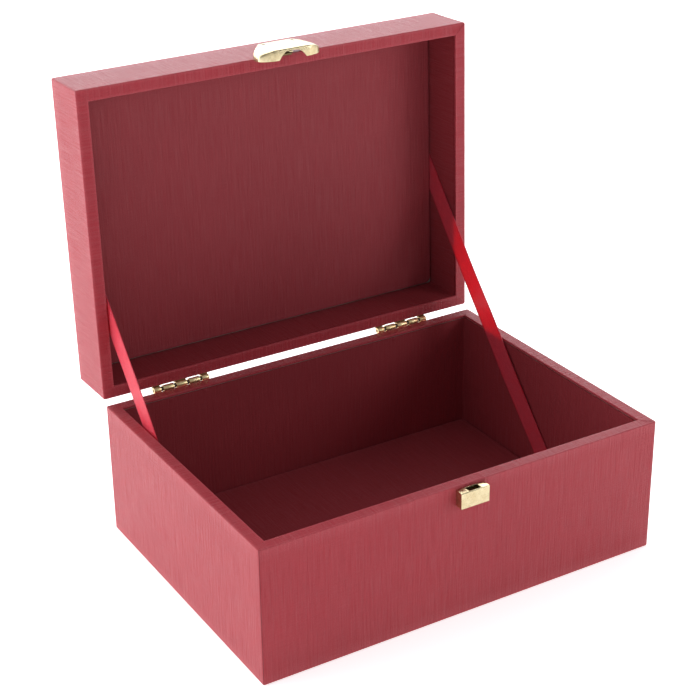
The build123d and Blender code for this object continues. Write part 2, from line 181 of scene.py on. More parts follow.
def linen_paper(name, deep, mid, pale, gloss, relief, gleam):
    """Book cloth paper with an embossed linen weave. It reads each piece's own weave coordinates."""
    material, tree, shader = new_material(name)
    weave = attribute(tree, "weave", "Vector")
    warp = grain(tree, weave, (0.85, 0.04, 1.0), 3.0, 0.62)
    weft = grain(tree, weave, (0.09, 1.5, 1.0), 3.0, 0.62, (7.0, 3.0, 0.0))
    fine = grain(tree, weave, (2.6, 2.2, 1.0), 2.0, 0.6)
    blotch = grain(tree, weave, (0.018, 0.024, 1.0), 2.0, 0.5, (3.0, 3.0, 0.0))
    height = calc(tree, "ADD", weigh(tree, warp, 0.62, weft, 0.34), calc(tree, "MULTIPLY", fine, 0.34))
    tone = weigh(tree, fine, 0.7, height, 0.3)
    colour = mixed(tree, spread(tree, tone, 0.42, 0.68), rgb(*deep), rgb(*mid))
    colour = mixed(tree, spread(tree, blotch, 0.35, 0.65, 0.0, 0.2), colour, rgb(*deep))
    scuffs = spread(tree, fine, 0.35, 0.65, 0.0, 0.45)
    worn = calc(tree, "MULTIPLY", attribute(tree, "edge", "Fac"), scuffs)
    colour = mixed(tree, worn, colour, rgb(*pale))
    # Painted shade: the seam mark darkens seams, creases and lines where pieces meet towards a
    # near-black red.
    seam = calc(tree, "MULTIPLY", attribute(tree, "seam", "Fac"), 0.85, clamp=True)
    shade = tuple(0.16 * part for part in deep)
    colour = mixed(tree, seam, colour, rgb(*shade))
    rough = spread(tree, height, 0.5, 0.8, gloss + 0.08, gloss - 0.08)
    dress(tree, shader, colour, rough, height, 1.0, relief)
    threads = grain(tree, weave, (1.3, 0.04, 1.0), 2.0, 0.6, (1.0, 9.0, 0.0))
    shine = spread(tree, threads, 0.36, 0.64, 0.72 * gleam, 1.28 * gleam)
    tree.links.new(shine, shader.inputs["Specular IOR Level"])
    return material


def brass_finish(name, bright, deep, smooth, dull):
    material, tree, shader = new_material(name)
    where = object_place(tree)
    cloud = grain(tree, where, (160.0, 160.0, 160.0), 3.0, 0.6)
    brushed = grain(tree, where, (900.0, 5200.0, 5200.0), 2.0, 0.6)
    spots = grain(tree, where, (2600.0, 2600.0, 2600.0), 2.0, 0.5, (5.0, 2.0, 8.0))
    colour = mixed(tree, spread(tree, cloud, 0.35, 0.68), rgb(*bright), rgb(*deep))
    colour = mixed(tree, spread(tree, spots, 0.62, 0.76, 0.0, 0.35), colour, rgb(0.32, 0.2, 0.07))
    rough = spread(tree, weigh(tree, cloud, 0.6, brushed, 0.4), 0.35, 0.65, smooth, dull)
    relief = calc(tree, "ADD", brushed, calc(tree, "MULTIPLY", spots, 0.5))
    dress(tree, shader, colour, rough, relief, 0.35, 0.00002)
    shader.inputs["Metallic"].default_value = 1.0
    return material


def steel_finish(name, bright, deep, rough):
    material, tree, shader = new_material(name)
    where = object_place(tree)
    drawn = grain(tree, where, (300.0, 3800.0, 3800.0), 3.0, 0.6)
    cloud = grain(tree, where, (420.0, 420.0, 420.0), 2.0, 0.5)
    colour = mixed(tree, spread(tree, cloud, 0.3, 0.7), rgb(*bright), rgb(*deep))
    uneven = spread(tree, drawn, 0.3, 0.7, rough - 0.08, rough + 0.12)
    dress(tree, shader, colour, uneven, drawn, 0.4, 0.00002)
    shader.inputs["Metallic"].default_value = 1.0
    return material


def greyboard():
    material, tree, shader = new_material("greyboard")
    where = object_place(tree)
    fibre = grain(tree, where, (900.0, 1500.0, 2600.0), 4.0, 0.65)
    flecks = grain(tree, where, (1900.0, 1900.0, 1900.0), 2.0, 0.5, (4.0, 1.0, 6.0))
    colour = mixed(tree, spread(tree, fibre, 0.3, 0.7), rgb(0.22, 0.2, 0.175), rgb(0.36, 0.335, 0.3))
    colour = mixed(tree, spread(tree, flecks, 0.62, 0.72, 0.0, 0.6), colour, rgb(0.1, 0.085, 0.07))
    dress(tree, shader, colour, spread(tree, fibre, 0.3, 0.7, 0.82, 0.96), fibre, 0.6, 0.0001)
    return material


def satin():
    material, tree, shader = new_material("ribbon_satin")
    weave = attribute(tree, "weave", "Vector")
    floats = grain(tree, weave, (6.5, 0.22, 1.0), 2.0, 0.55)
    picks = grain(tree, weave, (0.6, 3.4, 1.0), 2.0, 0.5, (2.0, 5.0, 0.0))
    cloud = grain(tree, weave, (0.12, 0.03, 1.0), 2.0, 0.5)
    selvedge = attribute(tree, "edge", "Fac")
    height = weigh(tree, floats, 0.7, picks, 0.3)
    colour = mixed(tree, spread(tree, height, 0.32, 0.68), rgb(0.48, 0.034, 0.056), rgb(0.78, 0.07, 0.1))
    colour = mixed(tree, spread(tree, cloud, 0.35, 0.65, 0.0, 0.3), colour, rgb(0.6, 0.05, 0.075))
    colour = mixed(tree, calc(tree, "MULTIPLY", selvedge, 0.45), colour, rgb(0.3, 0.02, 0.035))
    dress(tree, shader, colour, spread(tree, height, 0.3, 0.7, 0.5, 0.36), height, 0.8, 0.00006)
    glow = {"Subsurface Weight": 0.75, "Subsurface Scale": 0.002, "Subsurface Radius": (1.0, 0.25, 0.3)}
    sheen = {"Sheen Weight": 0.03, "Sheen Roughness": 0.3, "Sheen Tint": rgb(1.0, 0.55, 0.6)}
    for name, value in {"Anisotropic": 0.5, "Specular IOR Level": 0.2, **glow, **sheen}.items():
        shader.inputs[name].default_value = value
    return material


# Three reds each: in the weave, on the threads, and where an edge is worn.
COVER_REDS = ((0.33, 0.026, 0.038), (0.46, 0.039, 0.054), (0.6, 0.12, 0.14))
# The lining's reds are darker than the cover's: a darker paper, with painted shade for the inside of the
# box added in.
LINING_REDS = ((0.23, 0.027, 0.034), (0.325, 0.041, 0.051), (0.42, 0.08, 0.1))
PAPERS = {
    "cover_paper": linen_paper("cover_paper", *COVER_REDS, gloss=0.36, relief=0.0011, gleam=0.27),
    "lining_paper": linen_paper("lining_paper", *LINING_REDS, gloss=0.48, relief=0.0005, gleam=0.2),
}
BRASS = brass_finish("brass_polished", (0.67, 0.57, 0.36), (0.55, 0.44, 0.25), 0.18, 0.34)
BRASS_DULL = brass_finish("brass_hinge", (0.95, 0.78, 0.44), (0.68, 0.52, 0.25), 0.32, 0.48)
# Painted shade: this dark brass dresses the hinge leaves' curls and the lever's cheeks and hook, which
# sit in shade.
BRASS_PAINTED_SHADE = brass_finish("brass_tarnished", (0.26, 0.19, 0.09), (0.14, 0.1, 0.045), 0.45, 0.6)
# Dark steel, darkened further so that the pin and its collars also paint the shade in the gaps between
# the knuckles.
PIN = steel_finish("pin_steel", (0.12, 0.1, 0.08), (0.06, 0.05, 0.045), 0.42)
SPRING = steel_finish("spring_steel", (0.55, 0.55, 0.56), (0.36, 0.36, 0.38), 0.3)
BOARD = greyboard()
SATIN = satin()


# ---- mesh helpers


def finish_mesh(mesh, material, sharp):
    mesh.materials.append(material)
    mesh.shade_smooth()
    mesh.set_sharp_from_angle(angle=math.radians(sharp))


def linked(name, data):
    obj = bpy.data.objects.new(name, data)
    bpy.context.scene.collection.objects.link(obj)
    return obj


def settle(name, mesh, body, node_name):
    """Puts a piece where it belongs, makes it ride with its body and hides the CAD node it stands for.
    """
    obj = linked(name, mesh)
    obj.matrix_world = PLACES[body]
    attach(obj, body)
    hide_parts(node_name)


def mesh_from(name, points, faces, weave=None, marks=None):
    """points in millimetres. weave is one (u, v, 0) per face corner and marks are per point."""
    mesh = bpy.data.meshes.new(name)
    mesh.from_pydata([tuple(p) for p in np.asarray(points, float) * MM], [], faces)
    if weave is not None:
        layer = mesh.attributes.new("weave", "FLOAT_VECTOR", "CORNER")
        layer.data.foreach_set("vector", np.asarray(weave, np.float32).ravel())
    for key, values in (marks or {}).items():
        layer = mesh.attributes.new(key, "FLOAT", "POINT")
        layer.data.foreach_set("value", np.asarray(values, np.float32))
    return mesh


def wobble(point, size, amount, seed):
    """Smooth unevenness of a hand-covered board, in millimetres."""
    x, y, z = (float(c) / size for c in point)
    return amount * noise.noise(Vector((x + seed * 7.3, y - seed * 3.1, z + seed * 5.7)))


# ---- papers round a rectangle

NORMALS = ((0, -1), (1, 0), (0, 1), (-1, 0))
ALONG = ((1, 0), (0, 1), (-1, 0), (0, -1))
ARC = 6


def arc_rows(centre, radius, start, end, steps):
    """Points of a profile's rounded edge, angles in degrees from outwards towards up."""
    rows = []
    for i in range(steps + 1):
        angle = math.radians(start + (end - start) * i / steps)
        rows.append((centre[0] + radius * math.cos(angle), centre[1] + radius * math.sin(angle)))
    return rows


def loop_columns(size_x, size_y, step):
    """(side, share along it, share round the corner after it) for each column of a sweep."""
    columns = []
    for side in range(4):
        run = size_x if side % 2 == 0 else size_y
        count = max(2, int(run / step))
        columns += [(side, i / count, 0.0) for i in range(count + 1)]
        columns += [(side, 1.0, i / ARC) for i in range(1, ARC)]
    return columns


def column_spot(column, half_x, half_y, radius):
    side, run, bend = column
    normal, along = np.array(NORMALS[side], float), np.array(ALONG[side], float)
    half_run, half_off = (half_x, half_y) if side % 2 == 0 else (half_y, half_x)
    if bend == 0.0:
        return along * (2 * run - 1) * (half_run - radius) + normal * half_off
    angle = bend * math.pi / 2
    centre = along * (half_run - radius) + normal * (half_off - radius)
    return centre + radius * (normal * math.cos(angle) + along * math.sin(angle))


def sweep(size_x, size_y, profile, corner, least, step, closed, shift, marks):
    """Carries a profile of (outwards, up) rows round a rectangle.

    shift(row, column, point) gives where a point moves to and marks(row, column) gives its edge wear and
    its painted seam shade. An open sweep makes a flat piece, so its weave comes straight from x and y.
    """
    columns = loop_columns(size_x, size_y, step)
    count = len(columns)
    points, edge, seam = [], [], []
    for k, (out, up) in enumerate(profile):
        radius = max(least, corner + out)
        for column in columns:
            spot = column_spot(column, size_x / 2 + out, size_y / 2 + out, radius)
            points.append(shift(k, column, np.array((spot[0], spot[1], up))))
            found = marks(k, column)
            edge.append(found[0])
            seam.append(found[1])
    lengths = [0.0]
    for a, b in zip(profile, profile[1:] + profile[:1]):
        lengths.append(lengths[-1] + math.dist(a, b))
    faces, weave = [], []
    rows = len(profile)
    for k in range(rows if closed else rows - 1):
        for j in range(count):
            after = (j + 1) % count
            side, _, bend = columns[j]
            if bend >= 0.5:
                side = (side + 1) % 4
            above = (k + 1) % rows
            corners = ((k, j, k), (k, after, k), (above, after, k + 1), (above, j, k + 1))
            faces.append(tuple(row * count + column for row, column, _ in corners))
            for row, column, level in corners:
                x, y, _ = points[row * count + column]
                u = x * ALONG[side][0] + y * ALONG[side][1] + 400.0 * side
                weave.append((u, lengths[level], 0.0) if closed else (x, y, 0.0))
    return points, faces, weave, edge, seam, count


def flipped(points, faces, weave, about):
    """The same skin upside down, its faces still pointing outwards."""
    turned = [np.array((p[0], p[1], about - p[2])) for p in points]
    order = [face[::-1] for face in faces]
    corners, at = [], 0
    for face in faces:
        corners += weave[at : at + len(face)][::-1]
        at += len(face)
    return turned, order, corners


# How plainly each mitre shows, as a dip and as painted shade, starting with the front right corner
# and going round.
MITRES = (1.0, 0.85, 0.3, 0.25)
EDGE_ROUND = 0.6  # of the outer edges
RIM_ROUND = 0.45  # of the rim's inner edge
PUCKER_REACH = 9.0


def wrap_profile(height):
    """One strip: turned in under the box, up the wall, over the rim and down inside it."""
    rows, kinds = [], []

    def add(more, kind):
        rows.extend(more)
        kinds.extend([kind] * len(more))

    add([(-SHEET_INSET, 0.12), (-SHEET_INSET + 0.1, 0.0)], "under")
    add(arc_rows((-EDGE_ROUND, EDGE_ROUND), EDGE_ROUND, -90, 0, 5), "bend")
    levels = np.linspace(EDGE_ROUND, height - EDGE_ROUND, max(4, int(height / 6)))[1:-1]
    add([(0.0, float(z)) for z in levels], "wall")
    add(arc_rows((-EDGE_ROUND, height - EDGE_ROUND), EDGE_ROUND, 0, 90, 6), "bend")
    inner = -WALL + RIM_ROUND
    add([(float(n), height) for n in np.linspace(-EDGE_ROUND, inner, 6)[1:-1]], "rim")
    add(arc_rows((inner, height - RIM_ROUND), RIM_ROUND, 90, 180, 5), "bend")
    add([(-WALL, height - TURN_IN), (-WALL + 0.15, height - TURN_IN - 0.02)], "turn")
    add([(-WALL + CLOTH, height - TURN_IN), (-WALL + CLOTH, height - CLOTH)], "back")
    add([(-CLOTH, height - CLOTH), (-CLOTH, CLOTH), (-SHEET_INSET, CLOTH)], "back")
    return rows, kinds


def make_wrap(height, seed, upright, crumple=None):
    """upright is the side whose far corner carries the strip's own join."""
    profile, kinds = wrap_profile(height)

    def shift(k, column, point):
        kind = kinds[k]
        if kind == "back":
            return point
        side, _, bend = column
        moved = point.copy()
        lean = wobble(point, 34.0, 0.09, seed) + wobble(point, 11.0, 0.03, seed + 2)
        if kind == "wall":
            out = np.array(NORMALS[side], float)
            moved[:2] += out * lean
            if side == upright and bend == 0.5:
                moved[:2] *= 1 - 0.12 / np.linalg.norm(moved[:2])
        if kind == "rim" or (kind == "bend" and point[2] > height / 2):
            moved[2] += 0.5 * wobble(point, 22.0, 0.09, seed + 5)
            if bend == 0.5:
                moved[2] -= 0.16 * MITRES[side]
            if bend in (2 / ARC, 1 / ARC) and kind == "rim":
                moved[2] += 0.05 * MITRES[side]
        if crumple:
            moved += crumple(moved)
        return moved

    def marks(k, column):
        kind = kinds[k]
        side, _, bend = column
        edge = 1.0 if kind == "bend" and 0 < profile[k][1] else 0.0
        seam = 0.0
        # Painted shade along the mitres at the rim.
        if kind in ("rim", "bend") and profile[k][1] > height / 2 and profile[k][0] > -WALL + 0.2:
            near = {0.5: 1.0, 2 / ARC: 0.25, 4 / ARC: 0.25}.get(bend, 0.0)
            seam = near * MITRES[side]
        # Painted shade along the strip's own join at the upright corner.
        if kind in ("wall", "bend") and side == upright and bend == 0.5 and profile[k][0] > -0.3:
            seam = 0.9
        return edge, seam

    made = sweep(WIDTH, DEPTH, profile, 1.2, 0.4, 7.0, True, shift, marks)
    points, faces, weave, edge, seam, _ = made
    return points, faces, weave, {"edge": edge, "seam": seam}


def lid_crumple(point):
    """The covering's puckered corner at the lid's far upper right, measured in the wrap's frame."""
    corner = np.array((WIDTH / 2, -DEPTH / 2, 0.0))
    away = point - corner
    distance = float(np.linalg.norm(away))
    if distance > PUCKER_REACH:
        return np.zeros(3)
    fade = (1 - distance / PUCKER_REACH) ** 2
    fold = math.sin(distance * 2.1 + 0.8)
    lift = np.array((0.22, -0.2, -0.32)) * (0.6 + 0.5 * fold)
    return lift * fade


def place_paper(name, body, slot_name, points, faces, weave, marks, node_name):
    mesh = mesh_from(name, points, faces, weave, marks)
    finish_mesh(mesh, PAPERS[slot_name], 50)
    settle(name, mesh, body, node_name)


points, faces, weave, marks = make_wrap(RIM, 1, 3)
place_paper("base_wrap_paper", "base", "cover_paper", points, faces, weave, marks, "base_wrap")

points, faces, weave, marks = make_wrap(LID_TOP - LID_RIM, 2, 2, lid_crumple)
points, faces, weave = flipped(points, faces, weave, LID_TOP)
place_paper("lid_wrap_paper", "lid", "cover_paper", points, faces, weave, marks, "lid_wrap")


def lay_flat(name, body, slot_name, size, rows, corner, least, shift, marks, low, high, node_name):
    """A flat piece: the base's rises from low and the lid's hangs from high, in millimetres."""
    made = sweep(*size, rows, corner, least, 8.0, False, shift, marks)
    points, faces, weave, edge, seam, count = made
    last = (len(rows) - 1) * count
    for cap in (tuple(range(last, last + count)), tuple(range(count))[::-1]):
        faces.append(cap)
        weave += [(points[i][0], points[i][1], 0.0) for i in cap]
    if body == "base":
        points = [np.array((p[0], p[1], low + p[2])) for p in points]
    else:
        points, faces, weave = flipped(points, faces, weave, high)
    marks = {"edge": edge, "seam": seam}
    place_paper(name, body, slot_name, points, faces, weave, marks, node_name)


def make_sheet(name, body, node_name, seed):
    """The flat sheet that finishes the underside or the top, with soft cut edges."""
    size = (WIDTH - 2 * SHEET_INSET, DEPTH - 2 * SHEET_INSET)
    rows = [(-70.0, CLOTH), (0.0, CLOTH), (0.0, 0.14), (-0.05, 0.04), (-0.14, 0.0)]
    insets = (2.0, 5.0, 10.0, 18.0, 30.0, 45.0, 60.0, 75.0, 88.0)
    rows += [(-inset, 0.0) for inset in insets]

    def shift(k, column, point):
        if k > 4 and body == "lid":
            point[2] += abs(wobble(point, 40.0, 0.1, seed)) * min(1.0, -rows[k][0] / 20)
        return point

    def marks(k, column):
        # The sheet's raised cut edge gets painted shade.
        return (0.0, 0.5 if rows[k][1] > 0.01 and rows[k][0] > -1 else 0.0)

    lay_flat(name, body, "cover_paper", size, rows, 0.4, 0.25, shift, marks, 0.0, LID_TOP, node_name)


make_sheet("base_underside_paper", "base", "base_underside_sheet", 11)
make_sheet("lid_top_paper", "lid", "lid_top_sheet", 12)


# ---- inner panels

PANEL_CORNER = 4.0
PANEL_ROUND = 0.8


def make_panel(name, body, node_name, low, high, seed):
    """A thin padded-looking panel with its paper turned down round the edge."""
    thick = high[2] - low[2]
    rows = [(-3.0, thick - CLOTH), (-CLOTH, thick - CLOTH), (-CLOTH, 0.0), (0.0, 0.0)]
    rows += arc_rows((-PANEL_ROUND, thick - PANEL_ROUND), PANEL_ROUND, 0, 90, 5)
    first_flat = len(rows)
    insets = (2.0, 4.0, 8.0, 14.0, 22.0, 32.0, 44.0, 58.0, 72.0, 82.0)
    rows += [(-inset, thick) for inset in insets]

    def shift(k, column, point):
        if k >= first_flat - 3:
            swell = min(1.0, -rows[k][0] / 16.0)
            uneven = wobble(point, 48.0, 0.16, seed) + wobble(point, 14.0, 0.04, seed + 4)
            point[2] += swell * (0.12 + uneven) - 0.16
        return point

    def marks(k, column):
        # The rounded edge gets wear, and row 3, where the panel's edge meets what it sits on, gets
        # painted shade.
        return (0.6 if 4 < k <= first_flat else 0.0, 0.35 if k == 3 else 0.0)

    size, levels = (2 * high[0], 2 * high[1]), (low[2], high[2])
    corner = PANEL_CORNER
    lay_flat(name, body, "lining_paper", size, rows, corner, 0.5, shift, marks, *levels, node_name)


make_panel("base_floor_paper", "base", "base_panel_cover", *base_box("base_panel_cover"), 21)
make_panel("lid_panel_paper", "lid", "lid_panel_cover", *shut_box("lid_panel_cover"), 22)


# ---- linings

HINGE_MIDDLE = 79.4
NAIL_REACH = 11.6  # from a hinge's middle to its nails
NAIL_DROP = 3.4  # from the rim to a nail
LINING_CORNER = 1.1
nail_xs = [s * HINGE_MIDDLE + t * NAIL_REACH for s in (-1, 1) for t in (-1, 1)]


def graded(start, end, step, finer=(), reach=3.2, close=0.5):
    """Grid lines, closer together near both ends and round the finer spots."""
    near = (0, 0.12, 0.3, 0.6, 1.0, 1.6)
    lines = {round(start + d, 3) for d in near} | {round(end - d, 3) for d in near}
    count = max(1, int((end - start) / step))
    lines |= {round(start + (end - start) * i / count, 3) for i in range(1, count)}
    for spot in finer:
        for value in np.arange(spot - reach, spot + reach + 0.01, close):
            if start < value < end:
                lines.add(round(float(value), 3))
    kept = [min(lines)]
    for value in sorted(lines)[1:]:
        if value - kept[-1] > 0.09:
            kept.append(value)
    kept[-1] = end
    return kept


def grid_faces(rows, columns):
    """Faces of a grid of points, row after row."""
    starts = [j * columns + i for j in range(rows - 1) for i in range(columns - 1)]
    return [(a, a + 1, a + columns + 1, a + columns) for a in starts]


def grid_border(rows, columns):
    """The points round a grid's edge: along the first row, up, back along the last row and down."""
    border = list(range(columns))
    border += [j * columns + columns - 1 for j in range(1, rows)]
    border += [(rows - 1) * columns + i for i in range(columns - 2, -1, -1)]
    return border + [j * columns for j in range(rows - 2, 0, -1)]


def make_lining(half, side, seed):
    """One strip of lining, rounded into its corners, with the nail ends showing under it."""
    name = f"{half}_{side}_lining"
    low, high = (base_box if half == "base" else shut_box)(name)
    across = 0 if side in ("front", "back") else 1
    depth_axis = 1 - across
    inward = 1 if side in ("front", "left") else -1
    face = high[depth_axis] if inward > 0 else low[depth_axis]
    nails = nail_xs if side == "back" else []
    nail_z = RIM - NAIL_DROP if half == "base" else LID_RIM + NAIL_DROP
    us = graded(low[across], high[across], 6.0, nails)
    vs = graded(low[2], high[2], 5.0, [nail_z] if nails else [])
    hidden = CLOTH * (across == 0)  # the side strips cover the others' ends

    def proud(u, v):
        found = 0.0
        for d in (u - low[across] - hidden, high[across] - hidden - u):
            if d < LINING_CORNER:
                short = LINING_CORNER - max(0.0, d)
                found += 0.55 * (LINING_CORNER - math.sqrt(max(0.0, LINING_CORNER**2 - short**2)))
        found += abs(wobble((u, v, face), 30.0, 0.1, seed))
        for x in nails:
            gap = math.hypot(u - x, v - nail_z)
            found += 0.42 * math.exp(-((gap / 1.25) ** 2))
        return found

    def spot(u, v, out):
        point = np.zeros(3)
        point[across], point[depth_axis], point[2] = u, face + inward * out, v
        return point

    points = [spot(u, v, proud(u, v)) for v in vs for u in us]
    faces = grid_faces(len(vs), len(us))
    border = grid_border(len(vs), len(us))
    behind = len(points)
    for i in border:
        back = points[i].copy()
        back[depth_axis] = face - inward * CLOTH
        points.append(back)
    size = len(border)
    for k in range(size):
        after = (k + 1) % size
        faces.append((border[after], border[k], behind + k, behind + after))
    faces.append(tuple(behind + k for k in range(size))[::-1])
    if side in ("front", "right"):
        faces = [f[::-1] for f in faces]
    weave = [(points[i][across], points[i][2], 0.0) for f in faces for i in f]
    rim_line = high[2] if half == "base" else low[2]
    # The lining's edge at the rim gets a line of painted shade.
    seam = [0.3 if abs(p[2] - rim_line) < 0.05 else 0.0 for p in points]
    marks = {"edge": [0.0] * len(points), "seam": seam}
    place_paper(f"{name}_paper", half, "lining_paper", points, faces, weave, marks, name)


for index, side in enumerate(("front", "back", "left", "right")):
    make_lining("base", side, 31 + index)
    make_lining("lid", side, 41 + index)


# ---- ribbons

RIBBON_WIDTH = 15.0
RIBBON_THICK = 0.3
RIBBON_FOOT = -11.8  # where its middle line leaves the floor, from front to back
RIBBON_HEAD = 9.8  # where its middle line leaves the lid's panel, with the lid shut
RIBBON_TUCK = 1.2
RIBBON_STEPS = 64
RIBBON_COLUMNS = (-1, -0.975, -0.925, -0.82, -0.62, -0.31, 0, 0.31, 0.62, 0.82, 0.925, 0.975, 1)

foot = np.array((RIBBON_FOOT, FLOOR_TOP))
head_spot = OPEN @ Vector((0.0, RIBBON_HEAD * MM, LID_FACE * MM)) / MM
head = np.array((head_spot[1], head_spot[2]))
line = (head - foot) / np.linalg.norm(head - foot)
side_way = np.array((-line[1], line[0]))
lid_up = np.array((turn @ Vector((0, 0, 1)))[1:])


def make_ribbon(side, sign, seed):
    low, high = base_box(f"ribbon_{side}")
    middle = (low[0] + high[0]) / 2
    half = RIBBON_WIDTH / 2
    points, edge, spots = [], [], []
    for layer in (1, -1):
        for i in range(RIBBON_STEPS + 1):
            share = i / RIBBON_STEPS
            away = math.sin(math.pi * share)
            for t in (half * column for column in RIBBON_COLUMNS):
                # The ends are cut level with the floor and with the lid's panel.
                start = (FLOOR_TOP - RIBBON_TUCK - foot[1] - t * side_way[1]) / line[1]
                reach = RIBBON_TUCK + (head - foot) @ lid_up - (t * side_way) @ lid_up
                s = start + (reach / (line @ lid_up) - start) * i / RIBBON_STEPS
                flat = foot + line * s + side_way * t
                bow = 0.9 * away + away * wobble((s, t, 0), 45.0, 0.5, seed)
                cup = 0.25 * away * (t / half) ** 2
                hem = 0.06 if abs(t) > 0.9 * half else 0.0
                thick = RIBBON_THICK / 2 + hem
                x = middle - sign * (bow + cup) + layer * thick * sign * -1
                points.append(np.array((x, flat[0], flat[1])))
                edge.append(1.0 if abs(t) > 0.9 * half else 0.0)
                spots.append((t, s, 0.0))
    rows, columns = RIBBON_STEPS + 1, len(RIBBON_COLUMNS)
    size = rows * columns
    faces = grid_faces(rows, columns)
    faces += [tuple(size + i for i in face[::-1]) for face in faces]
    rim = grid_border(rows, columns)
    for k, a in enumerate(rim):
        b = rim[(k + 1) % len(rim)]
        faces.append((b, a, size + a, size + b))
    if sign < 0:
        faces = [f[::-1] for f in faces]
    weave = [spots[i] for f in faces for i in f]
    mesh = mesh_from(f"ribbon_{side}_satin", points, faces, weave, {"edge": edge})
    finish_mesh(mesh, SATIN, 60)
    obj = linked(f"ribbon_{side}_satin", mesh)
    start = (middle * MM, foot[0] * MM, foot[1] * MM)
    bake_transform(obj)
    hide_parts(f"ribbon_{side}")


make_ribbon("left", -1, 51)
make_ribbon("right", 1, 52)


# ---- metal shapes


class Metal:
    """Collects closed solids into one mesh, in millimetres."""

    def __init__(self):
        self.mesh = bmesh.new()

    def loops(self, rings, closed_ends=True, joined=False):
        """Skins rings of points. joined also skins the last ring to the first."""
        made = [[self.mesh.verts.new(tuple(p)) for p in ring] for ring in rings]
        pairs = list(zip(made, made[1:] + made[:1])) if joined else list(zip(made, made[1:]))
        for a, b in pairs:
            for i in range(len(a)):
                j = (i + 1) % len(a)
                self.mesh.faces.new((a[i], a[j], b[j], b[i]))
        if closed_ends and not joined:
            self.mesh.faces.new(made[0][::-1])
            self.mesh.faces.new(made[-1])

    def prism(self, outline, origin, x_axis, y_axis, depth, soften=0.0):
        """An outline pushed along its normal, with softened edges on both ends."""
        origin, x_axis, y_axis = (np.array(v, float) for v in (origin, x_axis, y_axis))
        normal = np.cross(x_axis, y_axis)
        flat = np.array(outline, float)
        steps = [(0.0, flat), (depth, flat)]
        if soften:
            inner, half = inset_outline(flat, soften), inset_outline(flat, soften * 0.3)
            edge = math.copysign(soften, depth)
            steps = [(0.0, inner), (edge * 0.3, half), (edge, flat)]
            steps += [(depth - edge, flat), (depth - edge * 0.3, half), (depth, inner)]
        spots = [(shape, origin + normal * up) for up, shape in steps]
        self.loops([[start + x_axis * p[0] + y_axis * p[1] for p in shape] for shape, start in spots])

    def turned(self, profile, origin, axis, across, segments=28, hollow=False):
        """A profile of (radius, distance along the axis) turned about the axis."""
        origin, axis, across = (np.array(v, float) for v in (origin, axis, across))
        third = np.cross(axis, across)
        rings = []
        for radius, along in profile:
            ring = []
            for i in range(segments):
                angle = 2 * math.pi * i / segments
                spoke = across * math.cos(angle) + third * math.sin(angle)
                ring.append(origin + axis * along + radius * spoke)
            rings.append(ring)
        self.loops(rings, joined=hollow)

    def finished(self, name):
        """The mesh in metres, its faces outwards. Nothing can be added after this."""
        bmesh.ops.recalc_face_normals(self.mesh, faces=self.mesh.faces)
        bmesh.ops.scale(self.mesh, vec=(MM, MM, MM), verts=self.mesh.verts)
        mesh = bpy.data.meshes.new(name)
        self.mesh.to_mesh(mesh)
        self.mesh.free()
        return mesh

    def piece(self, name, material, body, slot_name, node_name, sharp):
        mesh = self.finished(name)
        finish_mesh(mesh, material, sharp)
        settle(name, mesh, body, node_name)


def inset_outline(outline, amount):
    """Moves every side of a closed outline inwards. The outline runs anticlockwise."""
    moved = []
    count = len(outline)
    for i in range(count):
        before, here, after = outline[i - 1], outline[i], outline[(i + 1) % count]
        a, b = here - before, after - here
        a, b = a / np.linalg.norm(a), b / np.linalg.norm(b)
        na, nb = np.array((-a[1], a[0])), np.array((-b[1], b[0]))
        bisector = na + nb
        size = np.linalg.norm(bisector)
        bisector = bisector / size if size > 1e-6 else na
        reach = amount / max(0.45, float(bisector @ na))
        moved.append(here + bisector * reach)
    return np.array(moved)


def rounded_box(x0, y0, x1, y1, radii, steps=5):
    """Anticlockwise outline with a radius at each corner, starting at the lower left."""
    corners = ((x0, y0, 180), (x1, y0, 270), (x1, y1, 0), (x0, y1, 90))
    outline = []
    for (x, y, start), radius in zip(corners, radii):
        if radius == 0:
            outline.append((x, y))
            continue
        cx = x + radius if x == x0 else x - radius
        cy = y + radius if y == y0 else y - radius
        for i in range(steps + 1):
            angle = math.radians(start + 90 * i / steps)
            outline.append((cx + radius * math.cos(angle), cy + radius * math.sin(angle)))
    return outline


# ---- hinges

LEAF = 0.7  # thickness of the sheet
LEAF_TALL = 8.0
NOTCH = 3.3  # from the pin's line to the bottom of a notch
HALF_GAP = 0.15
TUCK = 1.1  # a leaf starts this far past the pin's line, behind its own knuckles
HINGE_LONG = 37.0
KNUCKLE = 1.98  # radius of the barrels
PIN_RADIUS = 0.8
PIN_HOLE = 0.84
# The dark collars are painted shade: they fill the gaps between the knuckles, where shade falls.
SHADE_COLLAR = 1.45  # radius of the dark collars on the pin, between the knuckles
KNUCKLE_GAP = 1.375
END_KNUCKLE = 4.8
MIDDLE_KNUCKLE = (HINGE_LONG - 2 * END_KNUCKLE - 4 * KNUCKLE_GAP) / 3
lengths = (END_KNUCKLE, MIDDLE_KNUCKLE, MIDDLE_KNUCKLE, MIDDLE_KNUCKLE, END_KNUCKLE)
starts = [-HINGE_LONG / 2 + sum(lengths[:i]) + i * KNUCKLE_GAP for i in range(5)]
BACK = DEPTH / 2


